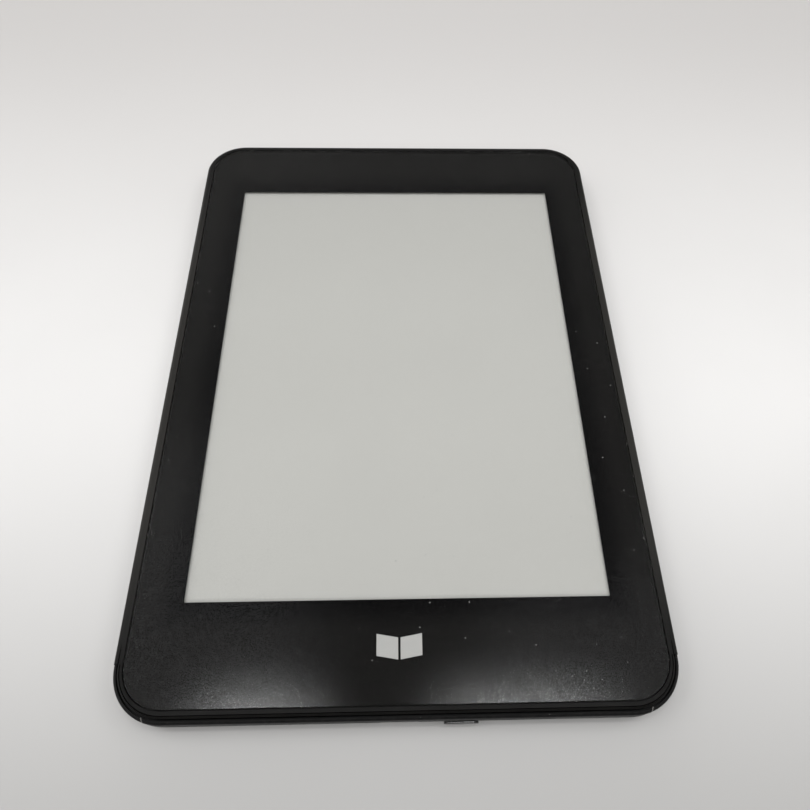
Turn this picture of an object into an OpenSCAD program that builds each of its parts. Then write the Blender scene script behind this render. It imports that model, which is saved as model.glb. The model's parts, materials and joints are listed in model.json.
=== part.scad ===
// Six-inch e-reader with a flush front, lying on its back.
// Frame: origin at the middle of the back face, +X right, +Y towards the top of the screen,
// +Z out of the screen.

/* [Case] */
// Width of the case
case_w = 116; // [112:0.5:130]
// Length over everything, from the top of the case to the face of the power button
overall_l = 167.5; // [164:0.5:190]
// Thickness from the back to the front of the rim
case_t = 8.2; // [8.2:0.1:10]
// Radius of the case's corners, seen from the front
case_r = 11; // [10:0.5:14]
// Radius of the rounded edge round the back
back_edge_r = 4; // [3.6:0.1:4.4]
// Radius of the rounded edge round the front
front_edge_r = 1; // [0.5:0.1:1.2]
// Thickness of the rear cover's wall
wall = 1.3; // [1.2:0.05:1.4]
// Thickness of the rear cover's floor
floor_t = 1; // [0.8:0.1:1]

/* [Front] */
// Width of the lens
lens_w = 111.6; // [108:0.1:112]
// Length of the lens
lens_l = 162.4; // [159:0.1:163]
// How far the middle of the lens lies above the middle of the back
lens_y = 0.54; // [0.4:0.01:0.6]
// Radius of the lens's corners
lens_r = 8.8; // [8:0.1:10]
// Gap round the lens
lens_gap = 0.15; // [0.1:0.05:0.3]
// Thickness of the lens
lens_t = 0.8; // [0.6:0.05:0.9]
// Width of the visible screen
screen_w = 91.5; // [86:0.1:93]
// Length of the visible screen
screen_l = 123.5; // [116:0.1:125]
// How far the middle of the screen lies above the middle of the back
screen_y = 2.3; // [1.8:0.01:2.6]

/* [Chin] */
// How far the front frame is set in at the bottom end
chin_inset = 1.1; // [1:0.05:1.2]
// Width of the rear cover's lip at the bottom end
lip_w = 0.6; // [0.5:0.05:0.8]
// Height of the rear cover's lip above the back
lip_z = 7.4; // [7:0.1:7.8]
// Length of the bottom end over which the lip shows
chin_l = 11.4; // [11.1:0.1:14]

/* [Power button] */
// How far the button's face stands beyond the case
button_proud = 0.5; // [0.4:0.05:0.6]
// Width of the button
button_w = 7.1; // [6:0.1:7.4]
// Height of the button
button_h = 2; // [1.8:0.1:2]
// Place of the button to the right of the middle
button_x = 12.45; // [12.2:0.05:16]
// Travel of the button
button_travel = 0.25; // [0.2:0.05:0.3]

/* [Battery] */
// Width of the battery
battery_w = 58; // [50:1:70]
// Length of the battery
battery_l = 88; // [70:1:92]
// Thickness of the battery
battery_t = 3.4; // [3:0.1:3.4]

/* [Hidden] */
$fn = 64;
eps = 0.01;
// Play between parts that meet, how far a cutter reaches past what it cuts, and a cutter's height
clearance = 0.02;
past = 1;
cut_h = 3;
// Case outline
case_l = overall_l - button_proud;
case_y = button_proud / 2;
bottom_y = case_y - case_l / 2;
chin_y = bottom_y + chin_l;
inner_edge_r = back_edge_r - wall;
big = 2 * case_w;
// Heights of the layers, from the front to the back
lens_z = case_t - lens_t;
print_t = 0.1;
print_z = lens_z - print_t;
touch_t = 0.2;
touch_z = print_z - touch_t;
ledge_z = touch_z;
guide_t = 0.4;
guide_z = touch_z - guide_t;
film_t = 0.3;
film_z = guide_z - film_t;
panel_t = 0.55;
panel_z = film_z - panel_t;
cushion_t = 0.25;
plate_z = 5;
plate_t = panel_z - cushion_t - plate_z;
seam_z = 6;
seam_gap = 0.1;
board_t = 0.7;
board_z = 4;
battery_z = floor_t + 0.3;
// Front frame and rear cover
lens_edge_r = 0.15;
lip_edge_r = 0.55;
ledge_r = 2;
ledge_w = 101;
ledge_l = 140.6;
ledge_y = -1.5;
ledge_bottom_z = plate_z + plate_t;
tongue_z = 4.8;
tongue_root = 0.5;
seal_ledge_z = 4.4;
seal_ledge_t = 0.8;
seal_gap = 0.1;
plate_gap = 0.2;
outside_y = bottom_y - past;
hole_end_y = -79;
tongue_out = wall + 0.2;
tongue_in = 2.7;
chin_edge_r = 0.35;
// Thin rib across the groove, near each lower corner
witness_x = 50.7;
witness_y = -81.7;
witness_size = [0.25, 0.4];
// Ribs that keep the battery in its place
side_rib_size = [0.8, 70, 1.2];
side_rib_gap = 0.9;
end_rib_size = [40, 0.8, 1.2];
end_rib_gap = 5.5;
// Display stack: width, length, corner radius and place along Y of each layer
print_inset = 0.1;
window_r = 0.3;
gasket_inset = 0.3;
gasket_gap = 0.5;
touch_size = [98, 136.5];
touch_r = 1;
touch_y = -1.15;
guide_size = [95, 130];
guide_r = 0.5;
guide_y = 1;
film_size = [94, 126.5];
film_r = 0.5;
film_y = 2.2;
panel_size = [96, 132.6];
panel_r = 1;
panel_y = -0.3;
cushion_inset = 0.5;
cushion_rim = 8;
driver_size = [22, 1.6, 0.18];
driver_y = -64.4;
flex_size = [92, 5, 0.1];
flex_overlap = 2.6;
led_count = 5;
led_pitch = 17;
led_gap = 0.1;
led_size = [3, 1.3, 0.38];
// Ribbons: thickness, bend radius, and the height at which they enter their connectors
ribbon_t = 0.12;
ribbon_bend = 0.5;
ribbon_turn_y = -70.3;
ribbon_low_z = 3.4;
ribbon_end = 1.2;
connector_y = -66.5;
connector_l = 3.4;
connector_h = 1.1;
connector_cheek = 1;
mouth_l = 1.5;
mouth_y = 0.7;
mouth_gap = 0.1;
display_ribbon_x = -3;
display_ribbon_w = 26;
touch_ribbon_x = 20;
touch_ribbon_w = 8;
light_ribbon_x = -24;
light_ribbon_w = 5;
light_ribbon_y = -66.4;
slot_size = [56, 2.6, cut_h];
slot_y = -70;
// Board
board_size = [88, 34];
board_r = 1;
board_y = -63;
board_hole_r = 0.8;
board_points = [[-41, -77], [41, -77], [-41, -49], [41, -49]];
pad_r = 1.6;
insulator_t = 0.1;
insulator_z = board_z + board_t + insulator_t;
insulator_gap = 0.2;
// Chips and passives under the board: size, and place of the middle of one or of the first of a row
processor_size = [13, 13, 1.1];
processor_at = [-18, -54];
memory_size = [9, 11, 0.9];
memory_at = [-33, -55];
storage_size = [11.5, 13, 1];
storage_at = [-2, -54];
power_size = [6, 6, 0.8];
power_at = [10.5, -54];
radio_size = [8, 8, 0.9];
radio_at = [32, -55];
can_size = [14, 13, 1.5];
can_wall = 0.2;
hall_size = [2.9, 1.6, 1];
hall_at = [36, -73.5];
resistor_size = [1, 0.5, 0.4];
resistor_at = [-40, -74.6];
resistor_pitch = 2.6;
capacitor_size = [0.5, 1, 0.4];
capacitor_at = [14, -60.2];
capacitor_pitch = 2.4;
row_count = 8;
coil_size = [2, 2, 0.8];
coil_at = [-40, -64.2];
coil_pitch = 3.4;
coil_count = 4;
// Screws
thread_gap = 0.05;
frame_screw_l = 1.5;
frame_hole_l = 1.8;
hex_r = 0.5;
hex_depth = 0.28;
screw_r = 0.5;
screw_head_r = 1.1;
screw_head_t = 0.4;
frame_points = [for (x = [-52.6, 52.6], y = [-60, -20, 20, 60]) [x, y]];
// Charging port
port_z = 2.75;
port_size = [7.5, 2.5];
port_y = [-82.3, -76.9];
port_wall = 0.3;
port_shoulder = 0.3;
port_taper = 1;
seal_y = [-82, -81.4];
port_hole = [8.3, 3.3];
port_hole_r = 0.7;
tongue_size = [3.7, 0.6];
tongue_z0 = port_z + 0.05;
tongue_root_y = port_y[1] - 0.6;
tongue_root_l = 0.8;
tongue_l = 4.2;
contact_size = [0.3, 2.9, 0.12];
contact_y = tongue_root_y - tongue_root_l - 0.05 - contact_size[1] / 2;
contact_pitch = 0.65;
contact_count = 5;
// Power button and its switch
button_z = 3.05;
button_gap = 0.15;
button_hole = [button_w + 2 * button_gap, button_h + 2 * button_gap];
button_face_y = bottom_y - button_proud;
pocket_y = bottom_y + 1.8;
flange_y = pocket_y + 0.4;
flange_t = 0.5;
flange_w = button_w + 1.5;
flange_h = button_h + 0.5;
pocket_size = [flange_w + 0.6, 4, flange_h + 0.2];
seal_t = 0.3;
seal_size = [flange_w - 0.4, flange_h - 0.1];
nub = [1.6, 0.4, 1.2];
plunger = [1.5, 0.85, 1];
plunger_gap = 0.05;
plunger_room = 0.3;
plunger_play = 0.1;
plunger_y = flange_y + flange_t + nub[1] + plunger_gap;
switch_case = [4.6, 2.1, 1.8];
switch_y = -79.6;
// Charge light
light_x = 6.3;
light_y = -80;
light_size = [1.6, 0.7, 1.2];
pipe_r = 0.5;
pipe_l = 3;
// Battery
battery_y = 8;
battery_r = 1.5;
terrace_l = 4;
terrace_size = [battery_w - 6, terrace_l + 1, 2];
terrace_z = battery_z + 0.8;
battery_end_y = battery_y - battery_l / 2 - terrace_l;
adhesive_size = [12, battery_l - 10, plate_z - battery_z - battery_t];
adhesive_x = 18;
foam_size = [40, 60, battery_z - floor_t];
wire_r = 0.35;
wire_z = 3.3;
wire_pitch = 1.2;
socket_size = [6.2, 3.4, 1.3];
socket_x = 20;
socket_y = -48.7;
plug_size = [5, 2.3, 1.1];
plug_y = socket_y + socket_size[1] / 2 + plug_size[1] / 2;
plug_z = wire_z - 0.6;
wire_end_y = plug_y + plug_size[1] / 2;
// Antenna
antenna_size = [30, 5, 0.15];
antenna_at = [-28, -75];
antenna_foot = [2, 1.2, 0.2];
antenna_foot_at = [-38, -76.4];
antenna_spring_w = 0.2;
antenna_spring_y = -75.9;
// Mark on the chin
mark_y = -69.2;
page_w = 4.5;
page_h = 4.4;
page_lift = 0.8;
page_gap = 0.5;

// ---- Shapes that repeat ----

// Rectangle with round corners, centred
module rounded_rect(size, r) {
    square([size[0] - 2 * r, size[1]], center = true);
    square([size[0], size[1] - 2 * r], center = true);
    for (x = [-1, 1], y = [-1, 1])
        translate([x * (size[0] / 2 - r), y * (size[1] / 2 - r)])
            circle(r = r);
}

// Lower right quarter of a disc, in the square from 0 to r
module quarter_disc(r) {
    intersection() {
        translate([0, r]) circle(r = r);
        square(r);
    }
}

// Section of a slab's edge, from the corner's axis out to the wall
module edge_section(r, h, low_r, high_r) {
    square([r - max(low_r, high_r), h]);
    translate([0, low_r]) square([r, h - low_r - high_r]);
    if (low_r > 0) {
        square([r - low_r, low_r]);
        translate([r - low_r, 0]) quarter_disc(low_r);
    }
    if (high_r > 0) {
        translate([0, h - high_r]) square([r - high_r, high_r]);
        translate([r - high_r, h]) mirror([0, 1]) quarter_disc(high_r);
    }
}

// Slab with round corners whose lower and upper edges are rounded too, centred in X and Y
module slab(w, l, r, h, low_r = 0, high_r = 0) {
    x = w / 2 - r;
    y = l / 2 - r;
    translate([-x, -y, 0]) cube([2 * x, 2 * y, h]);
    for (s = [0, 1]) {
        mirror([s, 0, 0])
            translate([x, y, 0])
                rotate([90, 0, 0])
                    linear_extrude(2 * y) edge_section(r, h, low_r, high_r);
        mirror([0, s, 0])
            translate([-x, y, 0])
                rotate([90, 0, 90])
                    linear_extrude(2 * x) edge_section(r, h, low_r, high_r);
        for (t = [0, 1])
            mirror([s, 0, 0])
                mirror([0, t, 0])
                    translate([x, y, 0])
                        rotate_extrude(angle = 90) edge_section(r, h, low_r, high_r);
    }
}

// Slab that follows the case's outline, set in from it
module case_slab(inset, z0, z1, low_r = 0, high_r = 0) {
    translate([0, case_y, z0])
        slab(case_w - 2 * inset, case_l - 2 * inset, case_r - inset, z1 - z0, low_r, high_r);
}

// Straight-sided block that follows the case's outline, set in from it
module case_prism(inset, z0, z1) {
    translate([0, case_y, z0])
        linear_extrude(z1 - z0)
            rounded_rect([case_w - 2 * inset, case_l - 2 * inset], case_r - inset);
}

// Straight-sided block that follows the lens's outline, grown from it
module lens_prism(grow, z0, z1) {
    translate([0, lens_y, z0])
        linear_extrude(z1 - z0)
            rounded_rect([lens_w + 2 * grow, lens_l + 2 * grow], lens_r + grow);
}

// Ring that follows the case's outline between two insets
module case_ring(outer, inner, z0, z1) {
    difference() {
        case_prism(outer, z0, z1);
        case_prism(inner, z0 - eps, z1 + eps);
    }
}

// Flat sheet with round corners
module sheet(size, y, z, t, r) {
    translate([0, y, z]) linear_extrude(t) rounded_rect(size, r);
}

// Case-wide block of everything below the start of the chin, or up to a little above it
module chin_space(overlap) {
    translate([-big / 2, chin_y - big + overlap, 0]) cube([big, big, big]);
}

// Through holes at points, in a sheet that lies just above z
module hole_cuts(points, z, r) {
    for (p = points)
        translate([p[0], p[1], z - past]) cylinder(h = cut_h, r = r);
}

// Slot for the ribbons, cut through a sheet that lies just above z
module slot_cut(z) {
    block(slot_size, 0, slot_y, z - past);
}

// Block given by its middle in X and Y and its lowest height
module block(size, x, y, z) {
    translate([x - size[0] / 2, y - size[1] / 2, z]) cube(size);
}

// Pill lying along X, extruded along Y from y0 to y1
module pill(w, h, x, z, y0, y1) {
    translate([x, y1, z])
        rotate([90, 0, 0])
            linear_extrude(y1 - y0) {
                square([w - h, h], center = true);
                for (s = [-1, 1])
                    translate([s * (w - h) / 2, 0]) circle(d = h);
            }
}

// Rod in line with the charge light, along Y from y0 to y1
module pipe(r, y0, y1) {
    translate([light_x, y1, button_z])
        rotate([90, 0, 0])
            cylinder(h = y1 - y0, r = r);
}

// Hole round the charging port, extruded along Y from y0 to y1
module port_opening(shrink, y0, y1) {
    size = [port_hole[0] - 2 * shrink, port_hole[1] - 2 * shrink];
    translate([0, y1, port_z])
        rotate([90, 0, 0])
            linear_extrude(y1 - y0) rounded_rect(size, port_hole_r - shrink);
}

// Screw with its head at height z and its shaft pointing up
module screw(z, shaft_l) {
    difference() {
        union() {
            translate([0, 0, z - screw_head_t]) cylinder(h = screw_head_t, r = screw_head_r);
            translate([0, 0, z - eps]) cylinder(h = shaft_l + eps, r = screw_r);
        }
        translate([0, 0, z - screw_head_t - eps]) cylinder(h = hex_depth, r = hex_r, $fn = 6);
    }
}

// Quarter of a ring round the origin, in the quadrant that the two signs name
module quarter_ring(r, t, sx, sy) {
    intersection() {
        difference() {
            circle(r = r + t / 2);
            circle(r = r - t / 2);
        }
        translate([min(sx, 0) * (r + t), min(sy, 0) * (r + t)]) square(r + t);
    }
}

// Ribbon that leaves the display stack, turns down through the slot and comes back to a connector
module ribbon(x, w, y0, z0) {
    t = ribbon_t;
    b = ribbon_bend;
    turn = ribbon_turn_y + b;
    translate([x - w / 2, 0, 0])
        rotate([90, 0, 90])
            linear_extrude(w) {
                translate([turn, z0 - t / 2]) square([y0 - turn, t]);
                translate([turn, z0 - b]) quarter_ring(b, t, -1, 1);
                translate([turn - b - t / 2, ribbon_low_z + b]) square([t, z0 - ribbon_low_z - 2 * b]);
                translate([turn, ribbon_low_z + b]) quarter_ring(b, t, -1, -1);
                translate([turn, ribbon_low_z - t / 2]) square([connector_y - turn + ribbon_end, t]);
            }
}

// Ribbon connector under the board, open towards the ribbon
module connector(x, w) {
    size = [w + 2 * connector_cheek, connector_l, connector_h];
    mouth = [w + 2 * mouth_gap, mouth_l, ribbon_t + mouth_gap];
    difference() {
        block(size, x, connector_y + size[1] / 2, board_z - size[2]);
        block(mouth, x, connector_y + mouth_y, ribbon_low_z - mouth[2] / 2);
    }
}

// Outline of the charging port's shell, as seen from outside
module port_outline(grow) {
    w = port_size[0] / 2 + grow;
    h = port_size[1] / 2 + grow;
    foot = w - port_taper;
    polygon([[-w, h], [w, h], [w, -port_shoulder], [foot, -h], [-foot, -h], [-w, -port_shoulder]]);
}

// Port outline extruded along Y from y0 to y1
module port_prism(grow, y0, y1) {
    translate([0, y1, port_z])
        rotate([90, 0, 0])
            linear_extrude(y1 - y0) port_outline(grow);
}

// One page of the open-book mark, to the right of its spine
module mark_page() {
    x = page_gap / 2;
    y = page_h / 2;
    polygon([[x, -y], [x + page_w, page_lift - y], [x + page_w, page_lift + y], [x, y]]);
}

module mark_block(z0, z1) {
    translate([0, mark_y - page_lift / 2, z0])
        linear_extrude(z1 - z0)
            for (s = [0, 1])
                mirror([s, 0]) mark_page();
}

// ---- Display stack ----

// Clear front sheet over the whole face
module front_lens() {
    color("dimgray", 0.35)
        translate([0, lens_y, lens_z])
            slab(lens_w, lens_l, lens_r, lens_t, 0, lens_edge_r);
}

// Black border printed behind the lens, with the screen's window and the mark left open
module lens_border_print() {
    color("#1c1c1d")
        difference() {
            lens_prism(-print_inset, print_z, lens_z);
            sheet([screen_w, screen_l], screen_y, print_z - eps, print_t + 2 * eps, window_r);
            mark_block(print_z - eps, lens_z + eps);
        }
}

// Open-book mark printed in light grey
module front_mark() {
    color("#b4b4b2") mark_block(print_z, lens_z);
}

// Adhesive gasket between the lens and the frame's ledge
module lens_gasket() {
    hole = [ledge_w + 2 * gasket_gap, ledge_l + 2 * gasket_gap];
    color("#2a2a2a")
        difference() {
            lens_prism(-gasket_inset, ledge_z, print_z);
            sheet(hole, ledge_y, ledge_z - eps, cut_h, ledge_r + gasket_gap);
        }
}

// Touch sensor bonded under the lens
module touch_sensor() {
    color("lightsteelblue", 0.35) sheet(touch_size, touch_y, touch_z, touch_t, touch_r);
}

// Light guide that spreads the front light
module light_guide() {
    color("aliceblue", 0.35) sheet(guide_size, guide_y, guide_z, guide_t, guide_r);
}

// Flexible strip that carries the front-light LEDs
module light_flex() {
    y = guide_y - guide_size[1] / 2 - flex_size[1] / 2 + flex_overlap;
    color("darkgoldenrod") block(flex_size, 0, y, guide_z - flex_size[2]);
}

// Front-light LEDs along the lower edge of the light guide
module light_leds() {
    y = guide_y - guide_size[1] / 2 - led_gap - led_size[1] / 2;
    color("lightyellow")
        for (i = [0 : led_count - 1])
            block(led_size, (i - (led_count - 1) / 2) * led_pitch, y, guide_z);
}

// E-paper film, the layer that shows the page
module epaper_film() {
    color("#bcbdb8") sheet(film_size, film_y, film_z, film_t, film_r);
}

// Backplane under the e-paper film
module epaper_backplane() {
    color("#7d8476") sheet(panel_size, panel_y, panel_z, panel_t, panel_r);
}

// Driver chip bonded on the backplane's lower edge
module display_driver() {
    color("#202428") block(driver_size, display_ribbon_x, driver_y, film_z);
}

// Foam tape between the backplane and the midframe
module panel_cushion() {
    outside = [panel_size[0] - 2 * cushion_inset, panel_size[1] - 2 * cushion_inset];
    hole = [panel_size[0] - 2 * cushion_rim, panel_size[1] - 2 * cushion_rim];
    color("#3a3a3c")
        difference() {
            sheet(outside, panel_y, ledge_bottom_z, cushion_t, panel_r);
            sheet(hole, panel_y, ledge_bottom_z - eps, cut_h, panel_r);
        }
}

// ---- Structure ----

// Rim and ledge that hold the lens, stepped in at the bottom end
module front_frame() {
    color("#36342f")
        difference() {
            union() {
                difference() {
                    case_slab(0, seam_z + seam_gap, case_t, 0, front_edge_r);
                    chin_space(0);
                }
                intersection() {
                    case_slab(chin_inset, seam_z + seam_gap, case_t, 0, chin_edge_r);
                    chin_space(eps);
                }
                case_prism(tongue_out, tongue_z, seam_z + tongue_root);
            }
            lens_prism(lens_gap, ledge_z, case_t + past);
            case_prism(tongue_in, tongue_z - past, ledge_bottom_z);
            sheet([ledge_w, ledge_l], ledge_y, tongue_z - past, case_t, ledge_r);
            for (p = frame_points)
                translate([p[0], p[1], plate_z]) cylinder(h = frame_hole_l, r = screw_r + thread_gap);
        }
}

// Metal plate that carries the panel in front and the board and battery behind
module midframe() {
    color("#9a9c9e")
        difference() {
            union() {
                case_prism(tongue_in + plate_gap, plate_z, plate_z + plate_t);
                for (p = board_points)
                    translate([p[0], p[1], board_z + board_t])
                        cylinder(h = plate_z - board_z - board_t + eps, r = pad_r);
            }
            slot_cut(plate_z);
            hole_cuts(frame_points, plate_z, screw_r + thread_gap);
            hole_cuts(board_points, plate_z, screw_r + thread_gap);
        }
}

// Screws that hold the midframe to the front frame's ledge
module frame_screws() {
    color("#55575a")
        for (p = frame_points)
            translate([p[0], p[1], 0]) screw(plate_z, frame_screw_l);
}

// Compressed seal between the rear cover's ledge and the front frame's tongue
module housing_seal() {
    color("#202020") case_ring(wall + seal_gap, tongue_in - 2 * seal_gap, seal_ledge_z, tongue_z);
}

// Back shell, with the lip that shows below the frame at the bottom end
module rear_cover() {
    witness_h = lip_z - seam_z - seam_gap;
    color("#2b2b2c")
        difference() {
            union() {
                difference() {
                    case_slab(0, 0, lip_z, back_edge_r, lip_edge_r);
                    case_slab(wall, floor_t, lip_z + past, inner_edge_r);
                    translate([-big / 2, chin_y, seam_z]) cube([big, big, big]);
                    case_prism(lip_w, seam_z, lip_z + past);
                }
                case_ring(wall - eps, tongue_in - seal_gap, seal_ledge_z - seal_ledge_t, seal_ledge_z);
                for (s = [-1, 1]) {
                    block([each witness_size, witness_h], s * witness_x, witness_y, seam_z - eps);
                    block(side_rib_size, s * (battery_w / 2 + side_rib_gap), battery_y, floor_t - eps);
                    block(end_rib_size, 0, battery_y + s * (battery_l / 2 + end_rib_gap), floor_t - eps);
                }
            }
            port_opening(0, outside_y, hole_end_y);
            pill(button_hole[0], button_hole[1], button_x, button_z, outside_y, hole_end_y);
            block(pocket_size, button_x, pocket_y + pocket_size[1] / 2, button_z - pocket_size[2] / 2);
            pipe(pipe_r, outside_y, hole_end_y);
        }
}

// ---- Board and what it carries ----

// Main circuit board, with a slot for the ribbons
module main_board() {
    color("#1f4a35")
        difference() {
            sheet(board_size, board_y, board_z, board_t, board_r);
            slot_cut(board_z);
            hole_cuts(board_points, board_z, board_hole_r);
        }
}

// Insulating film between the board and the midframe
module board_insulator() {
    size = [board_size[0] - 1, board_size[1] - 1];
    color("#2e2e30")
        difference() {
            sheet(size, board_y, insulator_z, insulator_t, board_r);
            slot_cut(insulator_z);
            hole_cuts(board_points, insulator_z, pad_r + insulator_gap);
        }
}

// Screws that hold the board to the midframe
module board_screws() {
    color("#7c7e80")
        for (p = board_points)
            translate([p[0], p[1], 0]) screw(board_z, plate_z + plate_t - board_z - insulator_t);
}

// Chip under the board: size, and the middle of the chip
module chip(size, at) {
    block(size, at[0], at[1], board_z - size[2]);
}

// Row of equal parts under the board, along X
module chip_row(size, at, pitch, count) {
    for (i = [0 : count - 1])
        chip(size, [at[0] + i * pitch, at[1]]);
}

module processor() {
    color("#1b1c1e") chip(processor_size, processor_at);
}

module memory_chip() {
    color("#242528") chip(memory_size, memory_at);
}

module storage_chip() {
    color("#202124") chip(storage_size, storage_at);
}

module power_chip() {
    color("#26272a") chip(power_size, power_at);
}

module radio_module() {
    color("#2c2d30") chip(radio_size, radio_at);
}

// Pressed metal can over the radio module
module rf_shield() {
    room = [can_size[0] - 2 * can_wall, can_size[1] - 2 * can_wall, can_size[2] - can_wall];
    color("silver")
        difference() {
            chip(can_size, radio_at);
            chip(room, radio_at);
        }
}

// Sensor that notices a closed cover
module hall_sensor() {
    color("#18191b") chip(hall_size, hall_at);
}

// Small passives in rows under the board
module board_passives() {
    color("#b59a6a") {
        chip_row(resistor_size, resistor_at, resistor_pitch, row_count);
        chip_row(capacitor_size, capacitor_at, capacitor_pitch, row_count);
        chip_row(coil_size, coil_at, coil_pitch, coil_count);
    }
}

// ---- Charging port ----

// Pressed shell of the port
module usb_shell() {
    color("silver")
        difference() {
            port_prism(0, port_y[0], port_y[1]);
            port_prism(-port_wall, port_y[0] - past, tongue_root_y);
        }
}

// Insulating tongue inside the port
module usb_tongue() {
    size = [tongue_size[0], tongue_l, tongue_size[1]];
    color("#141414")
        union() {
            block(size, 0, tongue_root_y - tongue_l / 2, tongue_z0);
            port_prism(-port_wall - clearance, tongue_root_y - tongue_root_l, tongue_root_y);
        }
}

// Contacts under the tongue
module usb_contacts() {
    first_x = -(contact_count - 1) / 2 * contact_pitch;
    color("gold")
        for (i = [0 : contact_count - 1])
            block(contact_size, first_x + i * contact_pitch, contact_y, tongue_z0 - contact_size[2]);
}

// Rubber ring between the port and the cover's hole
module usb_seal() {
    color("#161616")
        difference() {
            port_opening(clearance, seal_y[0], seal_y[1]);
            port_prism(clearance, seal_y[0] - past, seal_y[1] + past);
        }
}

// ---- Power button, switch and charge light ----

// Button cap with its retaining flange and the nub that meets the switch
module power_button() {
    color("#6b6c6e") {
        pill(button_w, button_h, button_x, button_z, button_face_y, flange_y);
        pill(flange_w, flange_h, button_x, button_z, flange_y - eps, flange_y + flange_t);
        block(nub, button_x, flange_y + flange_t + nub[1] / 2 - eps, button_z - nub[2] / 2);
    }
}

// Rubber ring round the button cap, in front of its flange
module button_seal() {
    hole = [button_w + clearance, button_h + clearance];
    color("#141414")
        difference() {
            pill(seal_size[0], seal_size[1], button_x, button_z, flange_y - seal_t, flange_y - clearance);
            pill(hole[0], hole[1], button_x, button_z, flange_y - past, flange_y + past);
        }
}

// Fixed case of the side-push switch
module power_switch_case() {
    depth = plunger_y + plunger[1] - switch_y + button_travel + plunger_room;
    hole = [plunger[0] + 2 * plunger_play, 2 * depth, plunger[2] + 2 * plunger_play];
    color("#c8c8c4")
        difference() {
            block(switch_case, button_x, switch_y + switch_case[1] / 2, board_z - switch_case[2]);
            block(hole, button_x, switch_y, button_z - hole[2] / 2);
        }
}

// Moving plunger of the switch
module power_switch_plunger() {
    color("#1a1a1a") block(plunger, button_x, plunger_y + plunger[1] / 2, button_z - plunger[2] / 2);
}

// Charge light on the board
module charge_light() {
    color("palegreen") block(light_size, light_x, light_y + light_size[1] / 2, board_z - light_size[2]);
}

// Clear rod that brings the charge light to the outside
module light_pipe() {
    color("whitesmoke") pipe(pipe_r - eps, light_y - pipe_l, light_y);
}

// ---- Battery ----

// Pouch cell with its terrace
module battery() {
    color("#4c4e52") {
        sheet([battery_w, battery_l], battery_y, battery_z, battery_t, battery_r);
        block(terrace_size, 0, battery_end_y + terrace_size[1] / 2, terrace_z);
    }
}

// Adhesive strips between the battery and the midframe
module battery_adhesive() {
    color("whitesmoke")
        for (s = [-1, 1])
            block(adhesive_size, s * adhesive_x, battery_y, battery_z + battery_t);
}

// Foam pad between the battery and the rear cover
module battery_foam() {
    color("#303030") block(foam_size, 0, battery_y, floor_t);
}

// Three wires from the battery to its plug
module battery_lead() {
    color("firebrick")
        for (i = [-1 : 1])
            translate([socket_x + i * wire_pitch, battery_end_y, wire_z])
                rotate([90, 0, 0])
                    cylinder(h = battery_end_y - wire_end_y, r = wire_r);
}

// Plug on the battery's wires
module battery_plug() {
    color("ivory") block(plug_size, socket_x, plug_y, plug_z);
}

// Socket under the board for the battery's plug
module battery_socket() {
    color("antiquewhite") chip(socket_size, [socket_x, socket_y]);
}

// ---- Ribbons, connectors and antenna ----

module display_ribbon() {
    from_y = panel_y - panel_size[1] / 2;
    color("#8a6a2c") ribbon(display_ribbon_x, display_ribbon_w, from_y, panel_z + film_t);
}

module touch_ribbon() {
    from_y = touch_y - touch_size[1] / 2;
    color("#8a6a2c") ribbon(touch_ribbon_x, touch_ribbon_w, from_y, touch_z + touch_t / 2);
}

module light_ribbon() {
    from_z = guide_z - flex_size[2] / 2;
    color("#8a6a2c") ribbon(light_ribbon_x, light_ribbon_w, light_ribbon_y, from_z);
}

module display_connector() {
    color("#d8d2c0") connector(display_ribbon_x, display_ribbon_w);
}

module touch_connector() {
    color("#d8d2c0") connector(touch_ribbon_x, touch_ribbon_w);
}

module light_connector() {
    color("#d8d2c0") connector(light_ribbon_x, light_ribbon_w);
}

// Antenna flex glued on the rear cover's floor
module antenna_flex() {
    color("#a5793a") block(antenna_size, antenna_at[0], antenna_at[1], floor_t);
}

// Spring contact between the board and the antenna flex
module antenna_contact() {
    low_z = floor_t + antenna_size[2];
    spring = [antenna_foot[0], antenna_spring_w, board_z - low_z];
    color("gold") {
        chip(antenna_foot, antenna_foot_at);
        block(spring, antenna_foot_at[0], antenna_spring_y, low_z);
    }
}

front_lens();
lens_border_print();
front_mark();
lens_gasket();
touch_sensor();
light_guide();
light_flex();
light_leds();
epaper_film();
epaper_backplane();
display_driver();
panel_cushion();
front_frame();
midframe();
frame_screws();
board_insulator();
main_board();
board_screws();
processor();
memory_chip();
storage_chip();
power_chip();
radio_module();
rf_shield();
hall_sensor();
board_passives();
usb_shell();
usb_tongue();
usb_contacts();
usb_seal();
power_switch_case();
power_switch_plunger();
power_button();
button_seal();
charge_light();
light_pipe();
battery();
battery_lead();
battery_plug();
battery_socket();
battery_adhesive();
battery_foam();
display_ribbon();
touch_ribbon();
light_ribbon();
display_connector();
touch_connector();
light_connector();
antenna_flex();
antenna_contact();
housing_seal();
rear_cover();
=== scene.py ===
"""Looks of a six-inch e-reader that lies on its back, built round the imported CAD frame.

Lengths are in millimetres until a mesh is made. The frame is the CAD's: +X right, +Y towards the top of the
screen, +Z out of the screen, with the origin at the middle of the back.
"""
import json
import math

import bmesh
import bpy
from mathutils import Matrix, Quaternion, Vector


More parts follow.
